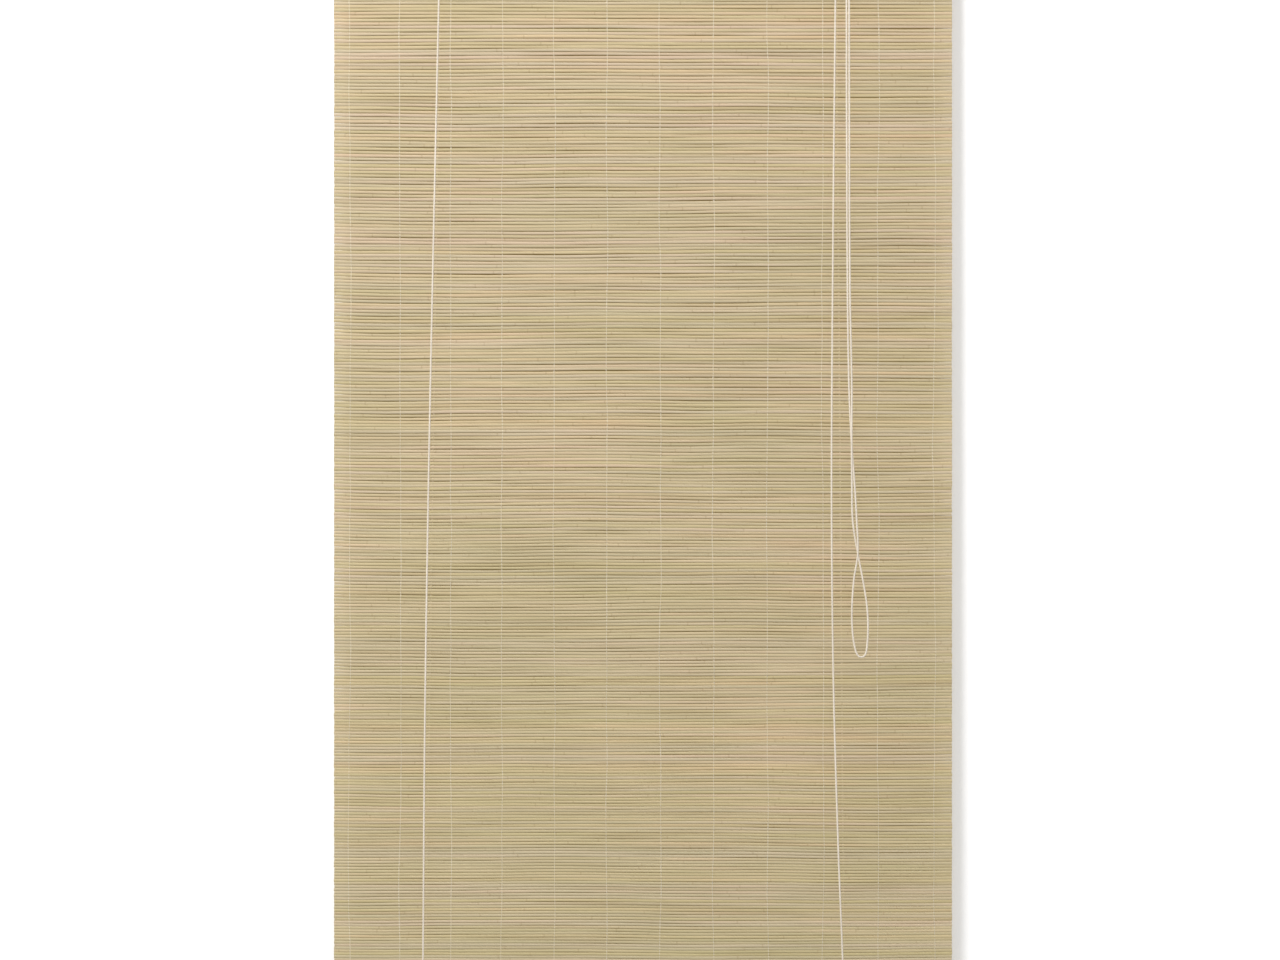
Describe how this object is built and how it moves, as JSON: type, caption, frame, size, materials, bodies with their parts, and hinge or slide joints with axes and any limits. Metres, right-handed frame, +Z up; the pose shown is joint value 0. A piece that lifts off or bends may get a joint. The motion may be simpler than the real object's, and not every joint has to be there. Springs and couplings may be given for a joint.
{
  "type": "bamboo roll up blind",
  "caption": "Woven bamboo roll up blind on a wooden head rail, with lift cords slung under a round bottom bar, pulleys, a cord lock and a looped pull cord.",
  "frame": {"origin": "midway between the two hanging holes, on the wall plane at the hanger plates' back faces", "axes": "+X along the head rail to the right as seen from the room, +Y into the wall, +Z up"},
  "size_m": [0.8, 0.0521, 1.6254],
  "materials": {
    "rail_wood": "planed, clear lacquer",
    "bamboo": "natural split bamboo, matt",
    "thread": "cotton twine",
    "cord": "braided, off-white",
    "plate": "zinc plated",
    "fastener": "bright",
    "sheave": "moulded nylon",
    "pawl": "plain brass"
  },
  "bodies": {
    "head": {"head_rail": "rail_wood", "cover_strip": "rail_wood", "rail_nails": "fastener", "left_hanger": "plate", "right_hanger": "plate", "hanger_screws": "fastener", "left_bracket": "plate", "left_axle": "fastener", "left_screws": "fastener", "lock_housing": "plate", "sheave_spacer": "fastener", "right_axle": "fastener", "pawl_pin": "fastener", "lock_screws": "fastener", "bamboo_mat": "bamboo", "warp_threads": "thread", "left_knot": "cord", "right_knot": "cord", "left_back_cord": "cord", "right_back_cord": "cord", "left_front_cord": "cord", "right_front_cord": "cord", "cross_cord": "cord", "pull_cord": "cord"},
    "left_wheel": {"left_sheave": "sheave"},
    "rear_wheel": {"rear_sheave": "sheave"},
    "front_wheel": {"front_sheave": "sheave"},
    "pawl": {"lock_pawl": "pawl"},
    "lift": {"left_sling": "cord", "right_sling": "cord"},
    "bottom_bar": {"bar_front": "rail_wood", "bar_back": "rail_wood", "bar_nails": "fastener"}
  },
  "joints": [
    {"name": "blind_lift", "type": "slide", "parent": "head", "child": "lift", "axis": [0, 0, 1], "range_m": [0, 1.48], "deforming": ["bamboo_mat", "warp_threads", "left_front_cord", "right_front_cord", "left_back_cord", "right_back_cord"]},
    {"name": "bar_roll", "type": "hinge", "parent": "lift", "child": "bottom_bar", "pos_m": [0, -0.02404, -1.6], "axis": [-1, 0, 0], "range_deg": [0, 3245]},
    {"name": "left_sheave_spin", "type": "hinge", "parent": "head", "child": "left_wheel", "pos_m": [-0.253, -0.03918, -0.044], "axis": [0, 1, 0], "continuous": true},
    {"name": "rear_sheave_spin", "type": "hinge", "parent": "head", "child": "rear_wheel", "pos_m": [0.257, -0.03918, -0.044], "axis": [0, 1, 0], "continuous": true},
    {"name": "front_sheave_spin", "type": "hinge", "parent": "head", "child": "front_wheel", "pos_m": [0.257, -0.04658, -0.044], "axis": [0, 1, 0], "continuous": true},
    {"name": "pawl_swing", "type": "hinge", "parent": "head", "child": "pawl", "pos_m": [0.274, -0.043, -0.05], "axis": [0, -1, 0], "range_deg": [0, 40]}
  ],
  "couplings": [
    {"joint": "bar_roll", "follows": "blind_lift", "rad_per_m": 38.21}
  ]
}
